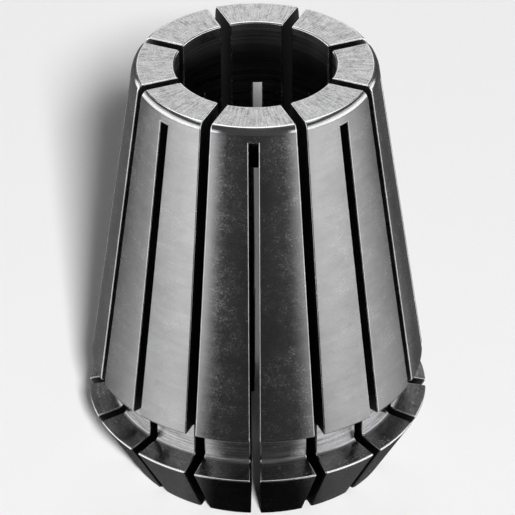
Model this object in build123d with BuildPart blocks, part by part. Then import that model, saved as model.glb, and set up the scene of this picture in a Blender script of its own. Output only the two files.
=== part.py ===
from build123d import *
import os
from math import radians, sqrt, tan

# ER spring collet of size 25, bored for a 12 mm shank. Sizes are in millimetres.
#
# One piece of spring steel, turned and ground, then sawn from both ends. The origin is the
# centre of the front face, which the clamping nut closes over, and the taper narrows towards
# +Z. A profile point is (radius, height above the front face).

# Overall
length = 34.0
bore_diameter = 12.0

# Long taper, which seats in the spindle: its diameter at one height above the front face
taper_half_angle = 8.0
gauge_diameter = 25.0
gauge_height = 10.0

# Short front taper, which the nut presses on, and the lip where it ends in a narrow land
lip_diameter = 26.0
lip_height = 5.1
lip_land = 0.12
front_half_angle = 30.0

# Nut groove, between the lip's sloping flank and the square start of the long taper
groove_diameter = 22.0
groove_width = 2.85
flank_angle = 10.0
groove_foot_radius = 0.3
groove_root_radius = 0.2

# Broken edges
rear_rim_chamfer = 0.3
bore_mouth_chamfer = 0.1
taper_start_chamfer = 0.08
front_rim_chamfer = 0.12

# Slots, as many from each end, left by a disc saw that runs in parallel to the axis
slots_per_end = 8
slot_width = 0.75
saw_radius = 20.0
saw_overrun = 2.7  # how far the saw's rim passes the bore wall
rear_web = 5.35  # what the saw leaves before the rear face, along the bore wall
front_web = 4.2  # what the saw leaves before the front face, along the bore wall

bore_radius = bore_diameter / 2
lip_radius = lip_diameter / 2
front_radius = lip_radius - lip_height * tan(radians(front_half_angle))
groove_radius = groove_diameter / 2
groove_foot_height = lip_height + lip_land + (lip_radius - groove_radius) * tan(radians(flank_angle))
taper_start_height = groove_foot_height + groove_width

# Where the saw stops: its axis lies this far from the collet's, and its round rim meets the
# bore wall this far ahead of its axis.
saw_axis_radius = bore_radius - saw_overrun + saw_radius
saw_reach = sqrt(saw_radius**2 - (saw_radius - saw_overrun) ** 2)
front_slot_stop = length - rear_web - saw_reach
rear_slot_stop = front_web + saw_reach
half_pitch = 180 / slots_per_end


def taper_radius(height):
    """Radius of the long taper at a height above the front face."""
    return gauge_diameter / 2 - (height - gauge_height) * tan(radians(taper_half_angle))


front_rim = (front_radius, 0)
lip_front_edge = (lip_radius, lip_height)
lip_rear_edge = (lip_radius, lip_height + lip_land)
groove_foot = (groove_radius, groove_foot_height)
groove_root = (groove_radius, taper_start_height)
taper_start = (taper_radius(taper_start_height), taper_start_height)
rear_rim = (taper_radius(length), length)
rear_mouth = (bore_radius, length)
front_mouth = (bore_radius, 0)


def saw_cut(low_height, high_height):
    """What the disc saw clears, as thick as a slot, while its axis moves between two heights."""
    with BuildPart() as cut:
        with BuildSketch(Plane.XZ):
            with Locations((saw_axis_radius, (low_height + high_height) / 2)):
                SlotCenterToCenter(high_height - low_height, 2 * saw_radius, rotation=90)
        extrude(amount=slot_width / 2, both=True)
    return cut.part


front_slot = saw_cut(0, front_slot_stop)
rear_slot = saw_cut(rear_slot_stop, length)

with BuildPart() as collet:
    # Turned and ground blank
    with BuildSketch(Plane.XZ) as section:
        with BuildLine():
            Polyline(
                front_mouth,
                front_rim,
                lip_front_edge,
                lip_rear_edge,
                groove_foot,
                groove_root,
                taper_start,
                rear_rim,
                rear_mouth,
                close=True,
            )
        make_face()
        for corner, radius in (
            (groove_foot, groove_foot_radius),
            (groove_root, groove_root_radius),
        ):
            fillet(section.vertices().sort_by_distance((*corner, 0))[0], radius)
        for corner, leg in (
            (front_mouth, bore_mouth_chamfer),
            (front_rim, front_rim_chamfer),
            (taper_start, taper_start_chamfer),
            (rear_rim, rear_rim_chamfer),
            (rear_mouth, bore_mouth_chamfer),
        ):
            chamfer(section.vertices().sort_by_distance((*corner, 0))[0], leg)
    revolve(axis=Axis.Z)

    # Slots from the two ends alternate round the axis
    with PolarLocations(0, slots_per_end):
        add(front_slot, mode=Mode.SUBTRACT)
    with PolarLocations(0, slots_per_end, start_angle=half_pitch):
        add(rear_slot, mode=Mode.SUBTRACT)

collet.part.label = "collet"
os.makedirs("parts", exist_ok=True)
export_step(collet.part, "parts/collet.step")
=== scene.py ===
"""A slotted spring collet in a plain studio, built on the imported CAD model.

The collet is one piece of steel, turned, ground and sawn. Lengths are written in millimetres and
put into the meshes in metres. The taper narrows towards +Z, and the front face is at Z = 0.
"""

import logging
from dataclasses import dataclass, field
from enum import Enum
from functools import cached_property
from math import cos, pi, radians, sin, sqrt, tan

import bpy
import numpy as np
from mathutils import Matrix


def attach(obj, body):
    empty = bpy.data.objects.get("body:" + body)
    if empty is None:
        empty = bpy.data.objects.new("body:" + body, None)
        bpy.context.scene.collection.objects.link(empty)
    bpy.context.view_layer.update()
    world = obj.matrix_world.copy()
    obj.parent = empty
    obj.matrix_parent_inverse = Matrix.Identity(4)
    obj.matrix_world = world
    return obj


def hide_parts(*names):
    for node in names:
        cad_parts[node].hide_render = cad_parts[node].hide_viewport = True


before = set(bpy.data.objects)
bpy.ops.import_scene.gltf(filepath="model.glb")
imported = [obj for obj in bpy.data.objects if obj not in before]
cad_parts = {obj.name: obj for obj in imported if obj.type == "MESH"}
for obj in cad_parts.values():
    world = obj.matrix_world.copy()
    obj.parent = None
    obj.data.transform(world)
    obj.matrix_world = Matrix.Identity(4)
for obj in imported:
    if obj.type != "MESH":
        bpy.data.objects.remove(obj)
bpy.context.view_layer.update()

MM = 0.001
log = logging.getLogger("collet_scene")
Array = np.ndarray
Node = bpy.types.Node
Socket = bpy.types.NodeSocket
Object = bpy.types.Object


def new_object(name: str, data: bpy.types.ID) -> Object:
    """Makes an object at the origin and puts it in the scene."""
    made = bpy.data.objects.new(name, data)
    bpy.context.scene.collection.objects.link(made)
    return made


def set_pose(item: Object, right: Array, up: Array, back: Array, place: Array) -> None:
    """Turns a lamp or the camera, which looks against back, and puts it at a place in mm."""
    matrix = np.eye(4)
    matrix[:3, :3] = np.stack([right, up, back], 1)
    matrix[:3, 3] = place * MM
    item.matrix_world = matrix.T.tolist()


# Shapes


class Zone(Enum):
    """Which finish a face of the collet wears; the value is its material slot."""

    TAPER = 0
    CONE = 1
    GROOVE = 2
    FLANK = 3
    FACE = 4
    # The bore: painted shade, with painted light near its mouth.
    BORE = 5
    SAWN = 6
    # Rounded edges: wear and painted highlight.
    EDGE = 7
    BEVEL = 8
    FILLET = 9


@dataclass
class Patch:
    """A grid of points in cylindrical terms, with its outward normals, all shaped (n, m).

    The normal's parts lie along the radius, along the turn about the axis, and along Z.
    """

    radius: Array
    angle: Array
    height: Array
    normal_r: Array
    normal_t: Array
    normal_z: Array
    zones: Array
    """Zone value of each row of faces, or of every face when it has one entry."""
    polygon: bool = False
    """True if the one row of points is the outline of a single flat face."""

    @classmethod
    def turned(cls, points: Array, normals: Array, angle: Array,
               zones: Array) -> "Patch":
        """Carries rows of points round the axis, with normals in the plane of the axis.

        Args:
            points: Radius and height of each row.
            normals: Parts of each row's normal along the radius and along Z.
            angle: Angles of each row's points, shaped (n, m).
            zones: Zone value of each row of faces, or a single one.

        Returns:
            The patch.
        """
        flat = np.zeros_like(angle)
        return cls(points[:, :1] + flat, angle, points[:, 1:] + flat,
                   normals[:, :1] + flat, flat, normals[:, 1:] + flat, zones)


class MeshStore:
    """Gathers patches into one closed mesh with shared points and worked-out normals."""

    CELLS = 1e4
    """Cells a millimetre of the grid on which points that coincide are joined."""
    SHIFT = 0.1234567
    """Share of a cell by which that grid is moved, so that round sizes lie inside cells."""

    def __init__(self) -> None:
        """Starts with nothing in it."""
        self.points: list[Array] = []
        self.blocks: list[tuple[Array, Array, Array]] = []
        """Faces by the numbers of their points, normals of their corners, and zone values."""
        self.count = 0

    def add(self, patch: Patch, turn: float, mirrored: bool) -> None:
        """Adds a patch turned about the axis, or mirrored in the plane of angle 0 and then turned.

        A point is (r cos a, r sin a, z). A patch whose faces look against its normals has
        every face reversed.

        Args:
            patch: The grid and its normals.
            turn: Angle about +Z in radians.
            mirrored: Whether the patch is mirrored first.
        """
        sign = -1.0 if mirrored else 1.0
        angle = sign * patch.angle + turn
        normal_t = sign * patch.normal_t
        c, s = np.cos(angle), np.sin(angle)
        points = np.stack([patch.radius * c, patch.radius * s, patch.height], -1).reshape(-1, 3)
        normals = np.stack(
            [patch.normal_r * c - normal_t * s, patch.normal_r * s + normal_t * c,
             patch.normal_z + 0 * c],
            -1,
        ).reshape(-1, 3)
        normals /= np.linalg.norm(normals, axis=-1, keepdims=True)
        index = np.arange(len(points)).reshape(patch.radius.shape)
        faces = index if patch.polygon else np.stack(
            [index[:-1, :-1], index[1:, :-1], index[1:, 1:], index[:-1, 1:]], -1
        ).reshape(-1, 4)
        corners = points[faces]
        facing = np.cross(corners, np.roll(corners, -1, 1)).sum(1)
        if (facing * normals[faces].mean(1)).sum() < 0:
            faces = faces[:, ::-1]
        bands = 1 if patch.polygon else len(index) - 1
        zones = np.repeat(np.broadcast_to(patch.zones, (bands,)), len(faces) // bands)
        self.blocks.append((faces + self.count, normals[faces], zones))
        self.points.append(points)
        self.count += len(points)

    def mesh(self, name: str) -> bpy.types.Mesh:
        """Joins the points that coincide and makes the mesh, with many-sided faces last.

        Args:
            name: Name of the mesh.

        Returns:
            The mesh, in metres, with a normal for each face corner.
        """
        points = np.concatenate(self.points)
        keys = np.round(points * self.CELLS + self.SHIFT).astype(np.int64)
        _, first, shared = np.unique(keys, axis=0, return_index=True, return_inverse=True)
        shared = shared.reshape(-1)
        faces, normals, zones = zip(*sorted(self.blocks, key=lambda b: b[0].shape[1] > 4))
        mesh = bpy.data.meshes.new(name)
        mesh.from_pydata((points[first] * MM).tolist(), [],
                         [face for block in faces for face in shared[block].tolist()])
        mesh.polygons.foreach_set("material_index", np.concatenate(zones).astype(np.int32))
        mesh.polygons.foreach_set("use_smooth", np.ones(len(mesh.polygons), bool))
        mesh.update()
        mesh.normals_split_custom_set(np.concatenate([n.reshape(-1, 3) for n in normals]).tolist())
        return mesh


@dataclass(frozen=True)
class Corner:
    """A corner of the turned outline and the run of outline that leaves it."""

    radius: float
    height: float
    round: float
    """Radius of the small round, or of the fillet where the corner is hollow."""
    zone: Zone
    """Finish of the straight run from this corner to the next."""
    stops: tuple[float, ...] = ()
    """Distances along that run where rows are wanted."""
    pitch: float = 1.6
    """Longest row on that run."""
    bend: Zone = Zone.EDGE
    # Finish of the round itself; the default, the edge finish, carries painted highlight.
    """Finish of the round itself."""


class Outline:
    """The closed outline of the turned blank in the plane of the axis, as rows of points.

    The solid is on the left of the direction of travel. Each corner is rounded by an arc that
    touches both its runs. A row is a point and its outward normal.
    """

    def __init__(self, corners: list[Corner], arc_steps: int = 4) -> None:
        """Works out the rows.

        At a corner the outward normal turns from that of the run before to that of the run
        after, and the arc starts and ends its radius times tan(turn / 2) from the corner.

        Args:
            corners: The corners in order.
            arc_steps: Rows of faces on each arc.
        """
        at = np.array([(c.radius, c.height) for c in corners])
        run = np.roll(at, -1, 0) - at
        length = np.linalg.norm(run, axis=1)
        along = run / length[:, None]
        out = np.stack([along[:, 1], -along[:, 0]], 1)
        before = np.roll(out, 1, 0)
        turn = np.arctan2(
            before[:, 0] * out[:, 1] - before[:, 1] * out[:, 0], (before * out).sum(1)
        )
        start = np.array([c.round for c in corners]) * np.abs(np.tan(turn / 2))
        end = length - np.roll(start, -1)
        rows, normals, zones = [], [], []
        for i, corner in enumerate(corners):
            steps = arc_steps if corner.round else 0
            step = turn[i] * np.linspace(0, 1, steps + 1)
            x, y = before[i]
            normal = np.stack(
                [x * np.cos(step) - y * np.sin(step), x * np.sin(step) + y * np.cos(step)], 1
            )
            radius = -corner.round if turn[i] < 0 else corner.round
            centre = at[i] - radius * (before[i] + out[i]) / (1 + before[i] @ out[i])
            rows.append(centre + radius * normal)
            normals.append(normal)
            zones += [corner.bend] * steps
            marks = [start[i], *corner.stops, end[i]]
            inner = [
                np.linspace(a, b, max(1, round((b - a) / corner.pitch)) + 1)[1:]
                for a, b in zip(marks[:-1], marks[1:])
            ]
            inner = np.concatenate(inner)[:-1]
            rows.append(at[i] + inner[:, None] * along[i])
            normals.append(np.broadcast_to(out[i], (len(inner), 2)))
            zones += [corner.zone] * (len(inner) + 1)
        self.points = np.concatenate(rows)
        self.normals = np.concatenate(normals)
        self.zones = np.array([z.value for z in zones])

    def row_at(self, radius: float, height: float) -> int:
        """Number of the row nearest to a point."""
        return int(np.argmin(np.hypot(*(self.points - (radius, height)).T)))

    def rows(self, first: int, last: int) -> Array:
        """Numbers of the rows from one to another, on past the end if the second is lower."""
        count = len(self.points)
        return np.arange(first, (last if last > first else last + count) + 1) % count


@dataclass(frozen=True)
class SawCut:
    """One of the two kinds of slot: where its disc saw stopped, and from which end it came."""

    width: float
    saw_radius: float
    axis_radius: float
    stop: float
    from_front: bool

    @property
    def centre(self) -> Array:
        """Radius and height at which the saw's axis stopped."""
        return np.array([self.axis_radius, self.stop])

    def radius(self, height: float) -> float:
        """Radius at which the saw's rim stands, at a height past its last axis position."""
        return self.axis_radius - sqrt(self.saw_radius**2 - (height - self.stop) ** 2)

    def height(self, radius: float) -> float:
        """Height at which the saw's rim stands at a radius."""
        ahead = sqrt(self.saw_radius**2 - (self.axis_radius - radius) ** 2)
        return self.stop + (ahead if self.from_front else -ahead)

    def arc(self, start: Array, end: Array, steps: int) -> Array:
        """Walks along the saw's rim.

        Args:
            start: Radius and height of the first point, which is on the rim.
            end: Radius and height of the last.
            steps: Number of steps between them.

        Returns:
            The points, one row each.
        """
        a, b = (np.arctan2(*(p - self.centre)[::-1]) % (2 * pi) for p in (start, end))
        turn = np.linspace(a, b, steps + 1)
        return self.centre + self.saw_radius * np.stack([np.cos(turn), np.sin(turn)], 1)

    def facing(self, points: Array) -> Array:
        """Unit vectors from points on the saw's rim to its axis."""
        return (self.centre - points) / self.saw_radius


@dataclass
class ColletBody:
    """The steel body: a turned outline carried round the axis, and sixteen slots sawn in it.

    The body repeats every eighth of a turn and is mirrored in the middle plane of each slot, so
    it is made of sixteen equal sectors. Each runs from the middle of a slot sawn from the front
    to the middle of a slot sawn from the rear.
    """

    length: float = 34.0
    bore_radius: float = 6.0
    gauge_radius: float = 12.5
    gauge_height: float = 10.0
    taper_half_angle: float = 8.0
    lip_radius: float = 13.0
    lip_height: float = 5.1
    lip_land: float = 0.12
    front_half_angle: float = 30.0
    groove_radius: float = 11.0
    groove_width: float = 2.85
    flank_angle: float = 10.0
    groove_foot_round: float = 0.3
    groove_root_round: float = 0.2
    rear_rim_chamfer: float = 0.3
    bore_mouth_chamfer: float = 0.1
    front_rim_chamfer: float = 0.12
    slots_per_end: int = 8
    slot_width: float = 0.75
    saw_radius: float = 20.0
    saw_overrun: float = 2.7
    rear_web: float = 5.35
    front_web: float = 4.2
    edge_round: float = 0.12
    lip_round: float = 0.107
    rim_round: float = 0.2
    """Round between the rear rim's bevel and the rear face."""
    shoulder_round: float = 0.85
    """Round between the long taper and the rear rim's bevel."""
    start_round: float = 0.24
    edge_break: float = 0.1
    """How far the slots' edges are broken. It stays smaller than the rounds that they cross."""
    row_gap: float = 0.14
    """Distance from where a slot ends to the next row of the skin over its web."""
    main_columns: int = 14
    web_columns: int = 3
    break_steps: int = 3
    arc_steps: int = 14
    halvings: int = 60
    name: str = "collet_body"

    def taper_radius(self, height: float) -> float:
        """Radius of the long taper at a height."""
        fall = tan(radians(self.taper_half_angle))
        return self.gauge_radius - (height - self.gauge_height) * fall

    def cuts(self) -> tuple[SawCut, SawCut]:
        """Works out where the saws stop.

        Returns:
            The slot sawn from the front and the slot sawn from the rear.
        """
        axis_radius = self.bore_radius - self.saw_overrun + self.saw_radius
        reach = sqrt(self.saw_radius**2 - (self.saw_radius - self.saw_overrun) ** 2)
        common = (self.slot_width, self.saw_radius, axis_radius)
        return (
            SawCut(*common, self.length - self.rear_web - reach, True),
            SawCut(*common, self.front_web + reach, False),
        )

    def crossings(self) -> dict[str, Array]:
        """Points where the saws' rims leave the blank: on the taper, the bore and the front face.

        The taper's is where r(z) of the taper equals the rim's; it is found by halving.

        Returns:
            Points (radius, height) by name.
        """
        front, rear = self.cuts()
        low, high = front.stop, self.length
        for _ in range(self.halvings):
            mid = (low + high) / 2
            if front.radius(mid) < self.taper_radius(mid):
                low = mid
            else:
                high = mid
        return {
            "taper": np.array([self.taper_radius(low), low]),
            "bore_rear": np.array([self.bore_radius, front.height(self.bore_radius)]),
            "bore_front": np.array([self.bore_radius, rear.height(self.bore_radius)]),
            "front_face": np.array([rear.radius(0.0), 0.0]),
        }

    @cached_property
    def outline(self) -> Outline:
        """The blank's outline, with rows where the slots end.

        Returns:
            The outline, which starts and ends half way along the bore.
        """
        slope, flank = radians(self.taper_half_angle), radians(self.flank_angle)
        front = radians(self.front_half_angle)
        front_radius = self.lip_radius - self.lip_height * tan(front)
        foot = self.lip_height + self.lip_land + (self.lip_radius - self.groove_radius) * tan(flank)
        start = foot + self.groove_width
        start_radius = self.taper_radius(start)
        rear_radius = self.taper_radius(self.length)
        bore, groove, length = self.bore_radius, self.groove_radius, self.length
        mouth, rim = self.bore_mouth_chamfer, self.rear_rim_chamfer
        front_rim, edge = self.front_rim_chamfer, self.edge_round
        cross, gap, step = self.crossings(), self.row_gap, self.edge_break
        taper_stop = float(np.hypot(*(cross["taper"] - (start_radius, start))))
        face_stop = cross["front_face"][0] - (bore + mouth)
        half = length / 2
        bore_stop_front = half - cross["bore_front"][1]
        bore_stop_rear = length - mouth - cross["bore_rear"][1]
        return Outline([
            Corner(bore, half, 0.0, Zone.BORE,
                   (bore_stop_front - gap, bore_stop_front + step)),
            Corner(bore, mouth, edge, Zone.BEVEL),
            Corner(bore + mouth, 0, edge, Zone.FACE,
                   (face_stop - step, face_stop + gap)),
            Corner(front_radius - front_rim, 0, edge, Zone.BEVEL),
            Corner(front_radius + front_rim * sin(front), front_rim * cos(front), edge, Zone.CONE),
            # The lip's land takes the edge finish, with its painted highlight.
            Corner(self.lip_radius, self.lip_height, self.lip_round, Zone.EDGE),
            Corner(self.lip_radius, self.lip_height + self.lip_land, self.lip_round, Zone.FLANK),
            Corner(groove, foot, self.groove_foot_round, Zone.GROOVE, bend=Zone.FILLET),
            Corner(groove, start, self.groove_root_round, Zone.GROOVE, bend=Zone.FILLET),
            Corner(start_radius, start, self.start_round, Zone.TAPER,
                   (taper_stop - gap, taper_stop + step), bend=Zone.BEVEL),
            Corner(rear_radius + rim * sin(slope), length - rim * cos(slope),
                   self.shoulder_round, Zone.BEVEL, bend=Zone.BEVEL),
            Corner(rear_radius - rim, length, self.rim_round, Zone.FACE),
            Corner(bore + mouth, length, edge, Zone.BEVEL),
            Corner(bore, length - mouth, edge, Zone.BORE,
                   (bore_stop_rear - step, bore_stop_rear + gap)),
        ])

    def skin(self) -> Patch:
        """The blank's surface between the broken edges of the two slots beside a sector.

        Each row is an arc about the axis from asin(y / r) to the half pitch less asin(y / r),
        where y is half a slot's width and the edge break.

        Returns:
            The patch, closed along the outline.
        """
        rows = np.append(np.arange(len(self.outline.points)), 0)
        points = self.outline.points[rows]
        edge = np.arcsin((self.slot_width / 2 + self.edge_break) / points[:, :1])
        share = np.linspace(0, 1, self.main_columns + 1)
        angle = edge + (pi / self.slots_per_end - 2 * edge) * share
        return Patch.turned(points, self.outline.normals[rows], angle, self.outline.zones)

    def slot_ends(self, cut: SawCut) -> list[tuple[Array, int]]:
        """Finds where a slot opens through the skin.

        Args:
            cut: The slot.

        Returns:
            For the first and the last of its open rows, the point where the saw's rim leaves
            the blank, and the number of the row.
        """
        cross, depth = self.crossings(), self.edge_break
        if cut.from_front:
            first, last = cross["bore_rear"], cross["taper"]
            slope = radians(self.taper_half_angle)
            shifts = (0, depth), (-depth * sin(slope), depth * cos(slope))
        else:
            first, last = cross["front_face"], cross["bore_front"]
            shifts = (-depth, 0), (0, -depth)
        return [(end, self.outline.row_at(*(end + shift)))
                for end, shift in zip((first, last), shifts)]

    def end_curve(self, cut: SawCut, corner: Array, row: int) -> Array:
        """The broken edge where a slot ends, in the plane of the axis.

        It is the curve a(1 - t)^2 + 2c t(1 - t) + b t^2, where a is the skin's row, c the
        unbroken corner and b the point of the saw's rim that lies as deep as the break.

        Args:
            cut: The slot.
            corner: The point where the saw's rim leaves the blank.
            row: The skin's row.

        Returns:
            The curve's points.
        """
        t = np.linspace(0, 1, self.break_steps + 1)[:, None]
        normal = self.outline.normals[row]
        seat = corner - self.edge_break * normal
        tangent = np.array([-normal[1], normal[0]])
        offset = seat - cut.centre
        along = offset @ tangent
        root = sqrt(along**2 - offset @ offset + cut.saw_radius**2)
        choices = [seat + (-along + sign * root) * tangent for sign in (-1, 1)]
        rim = min(choices, key=lambda point: float(np.hypot(*(point - corner))))
        start = self.outline.points[row]
        return (1 - t) ** 2 * start + 2 * (t * (1 - t)) * corner + t**2 * rim

    def open_edge(self, cut: SawCut, rows: Array, curves: list[Array]) -> Patch:
        """The broken edge along the open part of a slot.

        At t from 0 to 1 it lies (1 - t) squared of the break out from the wall, and t squared
        of it deep. Its normal leans from the skin's to the wall's.

        Args:
            cut: The slot.
            rows: The outline's rows along it.
            curves: The broken edges at its two ends.

        Returns:
            The patch.
        """
        t = np.linspace(0, 1, self.break_steps + 1)
        normals = self.outline.normals[rows]
        deep = self.edge_break * t[None, :, None] ** 2
        points = self.outline.points[rows, None] - deep * normals[:, None]
        points[0], points[-1] = curves
        r, z = points[..., 0], points[..., 1]
        angle = np.arcsin((cut.width / 2 + self.edge_break * (1 - t) ** 2) / r)
        lean = t[None, :] * pi / 2
        # Its edge finish is partly wear and partly painted highlight, except beside the cone,
        # groove, flank and fillet, which take the bevel finish without it.
        zones_without_highlight = [zone.value for zone in (Zone.CONE, Zone.GROOVE, Zone.FLANK, Zone.FILLET)]
        without_highlight = np.isin(self.outline.zones[rows[:-1]], zones_without_highlight)
        return Patch(
            r, angle, z,
            normals[:, :1] * np.cos(lean) - np.sin(lean) * np.sin(angle),
            -np.sin(lean) * np.cos(angle),
            normals[:, 1:] * np.cos(lean) + 0 * r,
            np.where(without_highlight, Zone.BEVEL.value, Zone.EDGE.value),
        )

    def slot_side(self, cut: SawCut) -> list[Patch]:
        """Everything between a slot's middle plane and the skin beside it.

        Angles run from the slot's middle plane. Where the slot is open, a broken edge joins
        the skin to the wall, which is one flat face. Where the saw stopped, a strip of its
        rim's cylinder closes the slot, that edge is broken too, and the blank's skin goes on
        over the web.

        Args:
            cut: The slot.

        Returns:
            The patches.
        """
        half, sawn = cut.width / 2, np.array([Zone.SAWN.value])
        outline, ends = self.outline, self.slot_ends(cut)
        first_row, last_row = (row for _, row in ends)
        web_rows = outline.rows(last_row, first_row)
        curves = [self.end_curve(cut, *end) for end in ends]
        edge = self.open_edge(cut, outline.rows(first_row, last_row), curves)

        # The saw's rim, from the last open row back to the first.
        arc = cut.arc(curves[1][-1], curves[0][-1], self.arc_steps)
        facing = cut.facing(arc)
        share = np.linspace(0, 1, self.web_columns + 1)
        angle = np.arcsin(share * half / arc[:, :1])
        flat = np.zeros_like(angle)
        rim = Patch(
            arc[:, :1] + flat, angle, arc[:, 1:] + flat,
            facing[:, :1] * np.cos(angle), -facing[:, :1] * np.sin(angle), facing[:, 1:] + flat,
            sawn,
        )

        # The flat wall: the deep side of the broken edge, closed by the rim.
        radius = np.concatenate([edge.radius[:, -1], arc[1:-1, 0]])[None, :]
        height = np.concatenate([edge.height[:, -1], arc[1:-1, 1]])[None, :]
        angle = np.arcsin(half / radius)
        wall = Patch(radius, angle, height, -np.sin(angle), -np.cos(angle),
                     np.zeros_like(radius), sawn, polygon=True)

        # The skin over the web.
        points = outline.points[web_rows]
        angle = np.arcsin(share * (half + self.edge_break) / points[:, :1])
        web = Patch.turned(points, outline.normals[web_rows], angle, outline.zones[web_rows[:-1]])
        patches = [edge, rim, wall, web]

        # The broken edges across the slot's two ends, in the edge finish with its painted
        # highlight.
        t = np.linspace(0, 1, self.break_steps + 1)[:, None]
        for curve, row, inner in zip(curves, (first_row, last_row), (facing[-1], facing[0])):
            angle = np.arcsin(share * (half + self.edge_break * (1 - t) ** 2) / curve[:, :1])
            normal = (1 - t) * outline.normals[row] + t * inner
            normal /= np.linalg.norm(normal, axis=1, keepdims=True)
            patches.append(Patch.turned(curve, normal, angle, np.array([Zone.EDGE.value])))
        return patches

    def build(self) -> Object:
        """Makes the body's mesh and its object.

        Returns:
            The object, at the origin.
        """
        front, rear = self.cuts()
        half_pitch = pi / self.slots_per_end
        at_front = [self.skin(), *self.slot_side(front)]
        at_rear = self.slot_side(rear)
        store = MeshStore()
        for k in range(self.slots_per_end):
            turn = 2 * half_pitch * k
            for mirrored in (False, True):
                for patch in at_front:
                    store.add(patch, turn, mirrored)
                for patch in at_rear:
                    store.add(patch, turn + (-half_pitch if mirrored else half_pitch), not mirrored)
        return new_object(self.name, store.mesh(self.name))

    def dress(self, body: Object) -> None:
        """Gives each zone of the body its finish.

        Args:
            body: The object that build made.
        """
        for zone in Zone:
            body.data.materials.append(FINISHES[zone].material())
        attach(body, "root")
        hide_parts("collet")
        log.info("%s: %d points, %d faces", body.name, len(body.data.vertices),
                 len(body.data.polygons))


# Finishes


@dataclass
class Graph:
    """A node tree being wired up: a short way to add nodes, set their inputs and link them."""

    tree: bpy.types.NodeTree

    def add(self, kind: str, inputs: dict | None = None, **settings: object) -> Node:
        """Adds a node.

        Args:
            kind: The node's type name without "ShaderNode".
            inputs: For each input's name or number, a plain value or a socket to link.
            settings: The node's own settings.

        Returns:
            The node.
        """
        node = self.tree.nodes.new("ShaderNode" + kind)
        for key, value in settings.items():
            setattr(node, key, value)
        for key, value in (inputs or {}).items():
            if isinstance(value, Socket):
                self.tree.links.new(value, node.inputs[key])
            else:
                node.inputs[key].default_value = value
        return node

    def maths(self, operation: str, *values: object) -> Socket:
        """A sum, product or other single step on numbers or sockets."""
        return self.add("Math", dict(enumerate(values)), operation=operation).outputs[0]

    def vector(self, operation: str, *values: object, out: int = 0) -> Socket:
        """A single step on vectors, which are triples or sockets."""
        return self.add("VectorMath", dict(enumerate(values)), operation=operation).outputs[out]

    def scaled(self, vector: object, factor: object) -> Socket:
        """A vector times a number."""
        return self.add("VectorMath", {0: vector, "Scale": factor}, operation="SCALE").outputs[0]

    def fit(self, value: object, low: float, high: float, to: tuple[object, object] = (0.0, 1.0),
            smooth: bool = False) -> Socket:
        """Carries the range from low to high onto another, and holds what lies beyond it."""
        return self.add(
            "MapRange", {0: value, 1: low, 2: high, 3: to[0], 4: to[1]},
            interpolation_type="SMOOTHSTEP" if smooth else "LINEAR",
        ).outputs[0]

    def place(self) -> Socket:
        """The piece's own coordinates."""
        return self.add("TexCoord").outputs["Object"]

    def noise(self, at: object, scale: object, detail: float, roughness: float = 0.5,
              out: str = "Fac", **more: float) -> Socket:
        """A noise texture: where it is read, waves a unit, finer noises and their strength."""
        return self.add("TexNoise", {"Vector": at, "Scale": scale, "Detail": detail,
                                     "Roughness": roughness, **more}).outputs[out]


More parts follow.
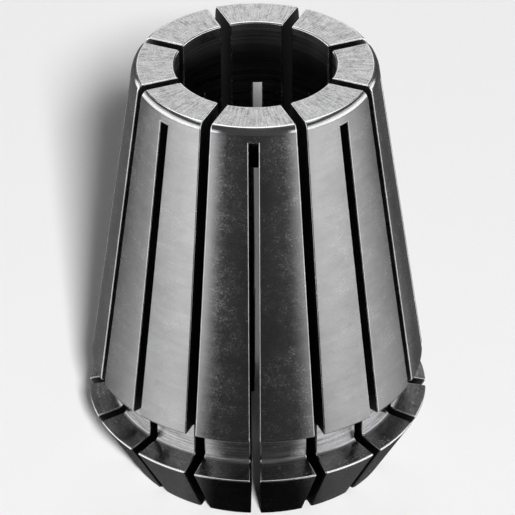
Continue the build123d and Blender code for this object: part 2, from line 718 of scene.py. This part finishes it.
class Effect(Enum):
    """Surface effects that several finishes share; the value names the node group."""

    RINGS = "turned_rings"
    RAYS = "ground_rays"
    CLOUD = "soft_cloud"
    WISPS = "faint_wipes"
    SPECKS = "pale_specks"
    HAIRS = "fine_scratches"

    def tree(self) -> bpy.types.NodeTree:
        """The effect's node group, built the first time that it is wanted."""
        return bpy.data.node_groups.get(self.value) or getattr(self, "_" + self.name.lower())()

    def mark(self, g: Graph, **inputs: float) -> Socket:
        """Places the effect's group in a material.

        Args:
            g: The material's graph.
            inputs: Values of the group's inputs.

        Returns:
            The group's Mark.
        """
        node = g.tree.nodes.new("ShaderNodeGroup")
        node.node_tree = self.tree()
        for name, value in inputs.items():
            node.inputs[name].default_value = value
        return node.outputs["Mark"]

    def _start(self, **inputs: float) -> tuple[Graph, dict[str, Socket]]:
        """Starts a group with number inputs and one number output, Mark.

        Args:
            inputs: Default of each input.

        Returns:
            The graph, and the group's inputs by name.
        """
        tree = bpy.data.node_groups.new(self.value, "ShaderNodeTree")
        for name, value in inputs.items():
            socket = tree.interface.new_socket(name, in_out="INPUT", socket_type="NodeSocketFloat")
            socket.default_value = value
        tree.interface.new_socket("Mark", in_out="OUTPUT", socket_type="NodeSocketFloat")
        return Graph(tree), tree.nodes.new("NodeGroupInput").outputs

    def _end(self, g: Graph, mark: Socket) -> bpy.types.NodeTree:
        """Puts a socket out as the group's Mark and returns the group."""
        g.tree.links.new(mark, g.tree.nodes.new("NodeGroupOutput").inputs["Mark"])
        return g.tree

    def _rings(self) -> bpy.types.NodeTree:
        """Rings about the axis: noise that changes fast with radius and height, slowly round it.

        Returns:
            The group, with inputs Fineness and Run in waves a metre.
        """
        g, given = self._start(Fineness=7000.0, Run=160.0)
        point = g.place()
        height = g.add("SeparateXYZ", {0: point}).outputs["Z"]
        radius = g.vector("LENGTH", g.vector("MULTIPLY", point, (1, 1, 0)), out=1)
        across = g.add("CombineXYZ", {0: radius, 2: height}).outputs[0]
        place = g.vector("ADD", g.scaled(across, given["Fineness"]), g.scaled(point, given["Run"]))
        return self._end(g, g.noise(place, 1.0, 3.0, 0.6))

    def _rays(self) -> bpy.types.NodeTree:
        """Streaks from the axis outwards: noise that changes fast with angle, slowly with radius.

        Returns:
            The group, with inputs Fineness in waves a radian and Run in waves a metre.
        """
        g, given = self._start(Fineness=60.0, Run=260.0)
        flat = g.vector("MULTIPLY", g.place(), (1, 1, 0))
        around = g.scaled(g.vector("NORMALIZE", flat), given["Fineness"])
        place = g.vector("ADD", around, g.scaled(flat, given["Run"]))
        return self._end(g, g.noise(place, 1.0, 4.0, 0.62))

    def _cloud(self) -> bpy.types.NodeTree:
        """Soft uneven shading: plain noise, with the input Scale in waves a metre."""
        g, given = self._start(Scale=350.0)
        return self._end(g, g.noise(g.place(), given["Scale"], 4.0, 0.55))

    def _wisps(self) -> bpy.types.NodeTree:
        """Faint wipe marks: noise drawn out along a leaning line.

        Returns:
            The group, with the input Scale in waves a metre.
        """
        g, given = self._start(Scale=1500.0)
        leaning = g.add("Mapping", {"Vector": g.place(), "Rotation": (0.0, 0.42, 0.0),
                                    "Scale": (0.16, 0.5, 1.0)}).outputs[0]
        return self._end(g, g.noise(leaning, given["Scale"], 4.0, 0.6, Distortion=0.6))

    def _specks(self) -> bpy.types.NodeTree:
        """Scattered specks: the middles of a few cells, picked by each cell's own number.

        Returns:
            The group, with inputs Scale in cells a metre, Share of cells and Size in cells.
        """
        g, given = self._start(Scale=1500.0, Share=0.1, Size=0.2)
        cells = g.add("TexVoronoi", {"Vector": g.place(), "Scale": given["Scale"]})
        pick = g.add("SeparateColor", {0: cells.outputs["Color"]})
        chosen = g.maths("LESS_THAN", pick.outputs[0], given["Share"])
        uneven = g.maths("MULTIPLY_ADD", pick.outputs[1], 0.8, 0.4)
        size = g.maths("MULTIPLY", given["Size"], uneven)
        near = g.maths("SUBTRACT", 1.0, g.maths("DIVIDE", cells.outputs["Distance"], size))
        return self._end(g, g.maths("MULTIPLY", chosen, g.fit(near, 0.0, 0.6, smooth=True)))

    def _hairs(self) -> bpy.types.NodeTree:
        """Thin scratches: the borders of long leaning cells, kept only in patches.

        Returns:
            The group, with inputs Scale in cells a metre, Width in cells and Share of the surface.
        """
        g, given = self._start(Scale=220.0, Width=0.012, Share=0.4)
        point = g.place()
        leaning = g.add("Mapping", {"Vector": point, "Rotation": (0.4, 0.9, 0.3),
                                    "Scale": (1.0, 0.35, 1.7)}).outputs[0]
        bent = g.scaled(g.noise(point, 240.0, 1.0, out="Color"), 0.0012)
        cells = g.add("TexVoronoi", {"Vector": g.vector("ADD", leaning, bent),
                                     "Scale": given["Scale"]}, feature="DISTANCE_TO_EDGE")
        edge = g.maths("DIVIDE", cells.outputs["Distance"], given["Width"])
        line = g.fit(g.maths("SUBTRACT", 1.0, edge), 0.0, 1.0)
        level = g.maths("SUBTRACT", 1.0, given["Share"])
        kept = g.maths("GREATER_THAN", g.noise(point, 520.0, 2.0), level)
        return self._end(g, g.maths("MULTIPLY", line, kept))


NOISE_SPAN = (0.3, 0.7)
"""Between these lies nearly all of a noise."""
FINE_SPAN = (0.35, 0.65)
DUST_SPAN = (0.36, 0.8)
DUST_FROM_CLOUD = (0.4, 1.0)
"""How much of the dust shows where the soft shading is dark, and where it is light."""
CLOUD_SCALE = 420.0
WIPE_SCALE = 1300.0
DUST_SCALE = 6500.0
FINER = 3.4
"""How much finer the fine blotches are than the coarse ones."""
WIPE_HAZE = 0.2
"""Share of the haze that wipe marks have too."""
FINE_SPECKS = {"Scale": 3600.0, "Share": 0.1, "Size": 0.17}
LARGE_SPECKS = {"Scale": 1300.0, "Share": 0.03, "Size": 0.08}
FINE_SPECK_STRENGTH = 0.7
WORN_ROUGHNESS, WORN_SHADE = 0.5, 0.12
"""How much rougher and how much lighter a worn place is."""
BLUE = 1.01
"""Blue of the steel as a share of its red and green."""
MOUTH = (31.0 * MM, 33.8 * MM)
# Heights between which the bore's painted shade gives way to painted light at its mouth.
"""Heights between which the bore grows lighter."""


@dataclass(frozen=True)
class SteelFinish:
    """Spring steel with the marks of the tool that cut it and of use.

    The grain moves the colour, the roughness and a shallow relief together. Specks and
    scratches are small rough places, which catch light from all round. The numbers are:

    fineness, run: The inputs of the grain.
    contrast, cloud, mottle, wipes: How far the grain, the soft shading, the blotches and the
        wipe marks move the colour either way, as a share of it.
    rough_swing, haze: How far grain and shading, and blotches, move the roughness either way.
    relief: Depth of the grain in micrometres.
    mottle_scale: The coarser blotches in waves a metre.
    dust, specks, hairs: Strength of the fine rough patches, the specks and the scratches. Dust
        shows only with specks.
    mouth: How much painted light brightens it near the rear face, as a share.
    """

    name: str
    base: float
    roughness: float
    grain: Effect = Effect.RINGS
    fineness: float = 7000.0
    run: float = 160.0
    contrast: float = 0.1
    rough_swing: float = 0.05
    relief: float = 0.3
    cloud: float = 0.08
    mottle: float = 0.0
    mottle_scale: float = 1900.0
    haze: float = 0.0
    wipes: float = 0.0
    dust: float = 0.0
    specks: float = 0.0
    hairs: float = 0.0
    mouth: float = 0.0

    def worn(self, g: Graph, cloud: Socket) -> Socket | None:
        """Gathers the small rough places: dust, specks and scratches.

        Args:
            g: The material's graph.
            cloud: The soft shading.

        Returns:
            How worn the surface is, or nothing if the finish has none.
        """
        worn = None
        if self.specks:
            dust = g.fit(Effect.CLOUD.mark(g, Scale=DUST_SCALE), *DUST_SPAN)
            shown = g.fit(cloud, NOISE_SPAN[0], FINE_SPAN[1], DUST_FROM_CLOUD)
            dust = g.maths("MULTIPLY", dust, shown)
            fine = g.maths("MULTIPLY", Effect.SPECKS.mark(g, **FINE_SPECKS), FINE_SPECK_STRENGTH)
            large = Effect.SPECKS.mark(g, **LARGE_SPECKS)
            worn = g.maths("MULTIPLY", g.maths("MAXIMUM", fine, large), self.specks)
            worn = g.maths("MAXIMUM", worn, g.maths("MULTIPLY", dust, self.dust))
        if self.hairs:
            hairs = g.maths("MULTIPLY", Effect.HAIRS.mark(g), self.hairs)
            worn = g.maths("MAXIMUM", worn, hairs) if worn else hairs
        return worn

    def material(self) -> bpy.types.Material:
        """Builds the material.

        Returns:
            The material.
        """
        material = bpy.data.materials.new(self.name)
        material.use_nodes = True
        g = Graph(material.node_tree)
        shader = material.node_tree.nodes["Principled BSDF"]
        shader.inputs["Metallic"].default_value = 1.0
        grain = self.grain.mark(g, Fineness=self.fineness, Run=self.run)
        cloud = Effect.CLOUD.mark(g, Scale=CLOUD_SCALE)
        sharp = g.fit(grain, *NOISE_SPAN, (-1.0, 1.0))
        soft = g.fit(cloud, *NOISE_SPAN, (-1.0, 1.0))
        swing = g.maths("MULTIPLY_ADD", sharp, self.contrast, 1.0)
        swing = g.maths("MULTIPLY_ADD", soft, self.cloud, swing)
        rough = g.maths("MULTIPLY_ADD", sharp, self.rough_swing, self.roughness)
        rough = g.maths("MULTIPLY_ADD", soft, self.rough_swing, rough)
        if self.mottle:
            fine = Effect.CLOUD.mark(g, Scale=self.mottle_scale * FINER)
            coarse = Effect.CLOUD.mark(g, Scale=self.mottle_scale)
            blotch = g.maths("ADD", g.fit(coarse, *NOISE_SPAN, (-0.5, 0.5)),
                             g.fit(fine, *FINE_SPAN, (-0.5, 0.5)))
            swing = g.maths("MULTIPLY_ADD", blotch, self.mottle, swing)
            rough = g.maths("MULTIPLY_ADD", blotch, self.haze, rough)
        if self.wipes:
            wipe = g.fit(Effect.WISPS.mark(g, Scale=WIPE_SCALE), *NOISE_SPAN, (-1.0, 1.0))
            swing = g.maths("MULTIPLY_ADD", wipe, self.wipes, swing)
            rough = g.maths("MULTIPLY_ADD", wipe, self.haze * WIPE_HAZE, rough)
        shade = g.maths("MULTIPLY", swing, self.base)
        # Painted light near the bore's mouth, over the painted shade deeper in.
        if self.mouth:
            height = g.add("SeparateXYZ", {0: g.place()}).outputs["Z"]
            near = g.fit(height, *MOUTH, (1.0, 1.0 + self.mouth), smooth=True)
            shade = g.maths("MULTIPLY", shade, near)
        worn = self.worn(g, cloud)
        if worn:
            rough = g.maths("MULTIPLY_ADD", worn, WORN_ROUGHNESS, rough)
            shade = g.maths("MULTIPLY_ADD", worn, WORN_SHADE, shade)
        tint = g.add("CombineColor", {0: shade, 1: shade, 2: g.maths("MULTIPLY", shade, BLUE)})
        bump = g.add("Bump", {"Strength": 1.0, "Distance": self.relief * 1e-6, "Height": grain})
        for name, value in (("Base Color", tint.outputs[0]), ("Roughness", rough),
                            ("Normal", bump.outputs[0])):
            g.tree.links.new(value, shader.inputs[name])
        return material


FINISHES: dict[Zone, SteelFinish] = {
    Zone.TAPER: SteelFinish(
        "ground_taper", 0.5, 0.125, fineness=5200, run=120, contrast=0.03, rough_swing=0.02,
        relief=0.6, cloud=0.06, mottle=0.06, mottle_scale=1600, haze=0.085, wipes=0.06, dust=0.46,
        specks=0.22, hairs=0.25
    ),
    Zone.CONE: SteelFinish(
        "ground_cone", 0.45, 0.16, fineness=5200, run=120, contrast=0.05, relief=0.6, cloud=0.06,
        mottle=0.14, haze=0.05, dust=0.3, specks=0.4, hairs=0.2
    ),
    Zone.GROOVE: SteelFinish(
        "turned_groove", 0.6, 0.2, fineness=5600, run=260, contrast=0.42, rough_swing=0.06,
        relief=8.0, cloud=0.12, mottle=0.12, haze=0.04
    ),
    Zone.FLANK: SteelFinish(
        "turned_flank", 0.42, 0.17, fineness=5200, run=160, contrast=0.08, rough_swing=0.03,
        relief=1.0, cloud=0.08, mottle=0.12, haze=0.05, dust=0.25, specks=0.4
    ),
    Zone.FACE: SteelFinish(
        "ground_face", 0.49, 0.27, grain=Effect.RAYS, fineness=52, run=640, contrast=0.46,
        rough_swing=0.08, relief=8.0, cloud=0.16, mottle=0.5, haze=0.1, hairs=0.5
    ),
    # The bore's dark base is painted shade deep in the hole; mouth paints light near the rear face.
    Zone.BORE: SteelFinish(
        "reamed_bore_painted_shade", 0.13, 0.32, fineness=6200, run=70, contrast=0.55, rough_swing=0.05,
        relief=3.0, cloud=0.15, mouth=3.6
    ),
    Zone.SAWN: SteelFinish(
        "sawn_slot", 0.14, 0.42, fineness=4200, run=500, contrast=0.2, relief=6.0
    ),
    # Its bright base is partly wear and partly painted highlight on the rounded edges.
    Zone.EDGE: SteelFinish(
        "worn_edge_painted_highlight", 0.82, 0.2, fineness=1600, run=900, contrast=0.12, rough_swing=0.08,
        relief=2.0, cloud=0.15
    ),
    Zone.BEVEL: SteelFinish(
        "turned_bevel", 0.45, 0.14, fineness=5200, run=300, contrast=0.12, rough_swing=0.03,
        relief=0.4, cloud=0.1, mottle=0.1
    ),
    Zone.FILLET: SteelFinish(
        "turned_fillet", 0.42, 0.42, fineness=5600, run=260, contrast=0.35, relief=5.0,
        cloud=0.12, mottle=0.12
    ),
}


# Studio


@dataclass(frozen=True)
class SoftBox:
    """A flat lamp that faces the middle of the body."""

    name: str
    place: tuple[float, float, float]
    size: tuple[float, float]
    radiance: float
    """How bright its face looks, where 1 is white."""
    lights: bool = True
    """Whether it lights matt surfaces."""
    shines: bool = True
    """Whether shiny surfaces mirror it."""
    aim: tuple[float, float, float] = (0, 0, 15)
    """Where it faces."""
    steep: float = 0.9
    """Past this much of straight up or down, its sides are turned by +Y instead of +Z."""

    def build(self) -> None:
        """Makes the lamp. Its power is its radiance times pi times its area."""
        data = bpy.data.lights.new(self.name, "AREA")
        data.shape = "RECTANGLE"
        data.size, data.size_y = (v * MM for v in self.size)
        data.energy = self.radiance * pi * data.size * data.size_y
        lamp = new_object(self.name, data)
        back = np.array(self.place, float) - self.aim
        back /= np.linalg.norm(back)
        right = np.cross((0, 1, 0) if abs(back[2]) > self.steep else (0, 0, 1), back)
        right /= np.linalg.norm(right)
        set_pose(lamp, right, np.cross(back, right), back, np.array(self.place))
        lamp.visible_diffuse = self.lights
        lamp.visible_glossy = self.shines
        lamp.visible_camera = False
        log.info("%s: radiance %.2f", self.name, self.radiance)


@dataclass
class View:
    """The camera, by its direction from the body and where the body's origin falls in it.

    The focal length is in pixels of an image 515 wide, and the two offsets are those of the
    origin from the middle of the image, in millimetres at the origin.
    """

    elevation: float = 33.733
    azimuth: float = 1.05
    roll: float = -0.397
    right: float = 0.0328
    down: float = 13.9405
    distance: float = 358.99
    focal: float = 4597.3
    image_width: int = 515
    sensor_width: float = 36.0
    clip: tuple[float, float] = (0.01, 10.0)
    """Nearest and farthest that it sees, in metres."""

    def build(self) -> None:
        """Makes the camera and hands it to the scene."""
        el, az, roll = (radians(a) for a in (self.elevation, self.azimuth, self.roll))
        back = np.array([sin(az) * cos(el), -cos(az) * cos(el), sin(el)])
        level = np.array([cos(az), sin(az), 0.0])
        sunk = np.cross(-back, level)
        across = cos(roll) * level - sin(roll) * sunk
        along = sin(roll) * level + cos(roll) * sunk
        data = bpy.data.cameras.new("camera")
        data.sensor_width = self.sensor_width
        data.lens = self.focal / self.image_width * data.sensor_width
        data.clip_start, data.clip_end = self.clip
        camera = new_object("camera", data)
        place = back * self.distance - across * self.right - along * self.down
        set_pose(camera, across, -along, back, place)
        bpy.context.scene.camera = camera
        log.info("%s: lens %.1f mm", camera.name, data.lens)


@dataclass
class Floor:
    """A pale paper floor, and a shaded card just over it that only shiny surfaces see.

    The card's colour is painted reflection: dark in front, a painted shadow under the part's
    overhang, painted light to both sides and grey behind.
    """

    half_side: float = 3000.0
    shade: float = 0.88
    card_sides: tuple[float, float] = (900.0, 2900.0)
    """Half the card's width and half its depth."""
    card_lift: float = 0.02
    turns: tuple[tuple[float, float], ...] = (
        (-180, 0.12), (-130, 0.15), (-112, 0.2), (-100, 0.35), (-90, 0.44), (-80, 0.62),
        (-70, 0.76), (-45, 0.97), (-34, 0.66), (-31, 0.34), (-27, 0.13), (-24, 0.055), (0, 0.035),
        (24, 0.06), (29, 0.18), (34, 0.43), (40, 0.74), (50, 0.86), (70, 0.78), (85, 0.65),
        (95, 0.54), (103, 0.42), (112, 0.26), (130, 0.1), (180, 0.12),
    )
    # Painted reflection brightness of the card by angle from straight in front, left negative.
    """Brightness of the card by angle from straight in front, left negative."""
    pinch: float = 1.28
    """How much wider the angles are read close to the part."""
    pinch_span: tuple[float, float] = (17.0, 32.0)
    foot: tuple[float, float] = (0.12, 0.88)
    # Painted shadow: brightness, times the above, next to the part under its overhang and clear of
    # it.
    """Brightness, times the above, next to the part and clear of it."""
    foot_span: tuple[float, float] = (13.5, 18.0)
    gain: float = 0.25
    # Painted light added to that farther out.
    """Brightness added to that farther out."""
    gain_span: tuple[float, float] = (30.0, 110.0)

    def _sheet(self, name: str, half: tuple[float, float], lift: float,
               material: bpy.types.Material) -> Object:
        """A flat sheet.

        Args:
            name: Name of the object.
            half: Half its width and half its depth.
            lift: Its height.
            material: Its material.

        Returns:
            The object.
        """
        across = np.array([(-1, -1), (1, -1), (1, 1), (-1, 1)]) * half * MM
        mesh = bpy.data.meshes.new(name)
        mesh.from_pydata([(x, y, lift * MM) for x, y in across], [], [(0, 1, 2, 3)])
        mesh.materials.append(material)
        sheet = new_object(name, mesh)
        return sheet

    def _paper(self, name: str) -> tuple[bpy.types.Material, Graph, Node]:
        """A matt material without gloss.

        Args:
            name: Name of the material.

        Returns:
            The material, its graph and its shader.
        """
        material = bpy.data.materials.new(name)
        material.use_nodes = True
        shader = material.node_tree.nodes["Principled BSDF"]
        shader.inputs["Base Color"].default_value = (self.shade, self.shade, self.shade, 1)
        shader.inputs["Roughness"].default_value = 1.0
        shader.inputs["Specular IOR Level"].default_value = 0.0
        return material, Graph(material.node_tree), shader

    def build(self) -> None:
        """Lays the floor and the card."""
        paper, _, _ = self._paper("floor_paper")
        self._sheet("floor", (self.half_side, self.half_side), 0.0, paper)
        reflection_paper, g, shader = self._paper("painted_reflection_paper")
        point = g.place()
        parts = g.add("SeparateXYZ", {0: point})
        ahead = g.maths("MULTIPLY", parts.outputs["Y"], -1.0)
        away = g.vector("LENGTH", point, out=1)
        turn = g.maths("ARCTAN2", parts.outputs["X"], ahead)
        spans = [[v * MM for v in span] for span in
                 (self.pinch_span, self.foot_span, self.gain_span)]
        turn = g.maths("MULTIPLY", turn, g.fit(away, *spans[0], (self.pinch, 1.0)))
        # Painted reflections: dark in front and light to the sides, read by angle round the part.
        ramp = g.add("ValToRGB", {0: g.maths("MULTIPLY_ADD", turn, 0.5 / pi, 0.5)})
        stops = ramp.color_ramp.elements
        stops[0].position, stops[1].position = 0.0, 1.0
        for angle, level in self.turns[1:-1]:
            stops.new(0.5 + angle / 360).color = (level, level, level, 1)
        for stop, (_, level) in ((stops[0], self.turns[0]), (stops[-1], self.turns[-1])):
            stop.color = (level, level, level, 1)
        # Painted shadow under the part's overhang, and painted light farther out.
        near = g.fit(away, *spans[1], self.foot, smooth=True)
        far = g.fit(away, *spans[2], (0.0, self.gain))
        level = g.maths("MULTIPLY", ramp.outputs[0], g.maths("ADD", near, far))
        tint = g.add("CombineColor", {0: level, 1: level, 2: level})
        g.tree.links.new(tint.outputs[0], shader.inputs["Base Color"])
        card = self._sheet("painted_reflection_card", self.card_sides, self.card_lift, reflection_paper)
        card.visible_camera = card.visible_diffuse = card.visible_shadow = False
        log.info("floor and card laid")


@dataclass
class Studio:
    """The whole set: floor, camera, lamps and the light from all round."""

    view: View = field(default_factory=View)
    floor: Floor = field(default_factory=Floor)
    boxes: tuple[SoftBox, ...] = (
        SoftBox("key", (266, -1782, 1262), (210, 270), 405.0, shines=False),
        SoftBox("top_box", (0, 65, 500), (760, 480), 1.45, lights=False),
        SoftBox("back_box", (0, 430, 188), (200, 310), 1.12),
        SoftBox("left_box", (-420, -60, 70), (1040, 180), 1.9, lights=False),
        SoftBox("right_box", (420, -60, 70), (1040, 180), 1.9, lights=False),
        SoftBox("left_glow", (-420, -60, 215), (1040, 110), 0.95, lights=False),
        SoftBox("right_glow", (420, -60, 215), (1040, 110), 0.95, lights=False),
    )
    around: float = 0.1
    """Strength of the even light from all round."""

    def build(self) -> None:
        """Sets everything up."""
        self.view.build()
        self.floor.build()
        for box in self.boxes:
            box.build()
        world = bpy.data.worlds.new("studio")
        world.use_nodes = True
        background = world.node_tree.nodes["Background"]
        background.inputs["Color"].default_value = (1, 1, 1, 1)
        background.inputs["Strength"].default_value = self.around
        bpy.context.scene.world = world
        bpy.context.scene.view_settings.view_transform = "Standard"


def main() -> None:
    """Builds the body and the studio in order."""
    logging.basicConfig(level=logging.INFO, format="%(name)s: %(message)s")
    collet = ColletBody()
    body = collet.build()
    collet.dress(body)
    Studio().build()


if __name__ == "__main__":
    main()
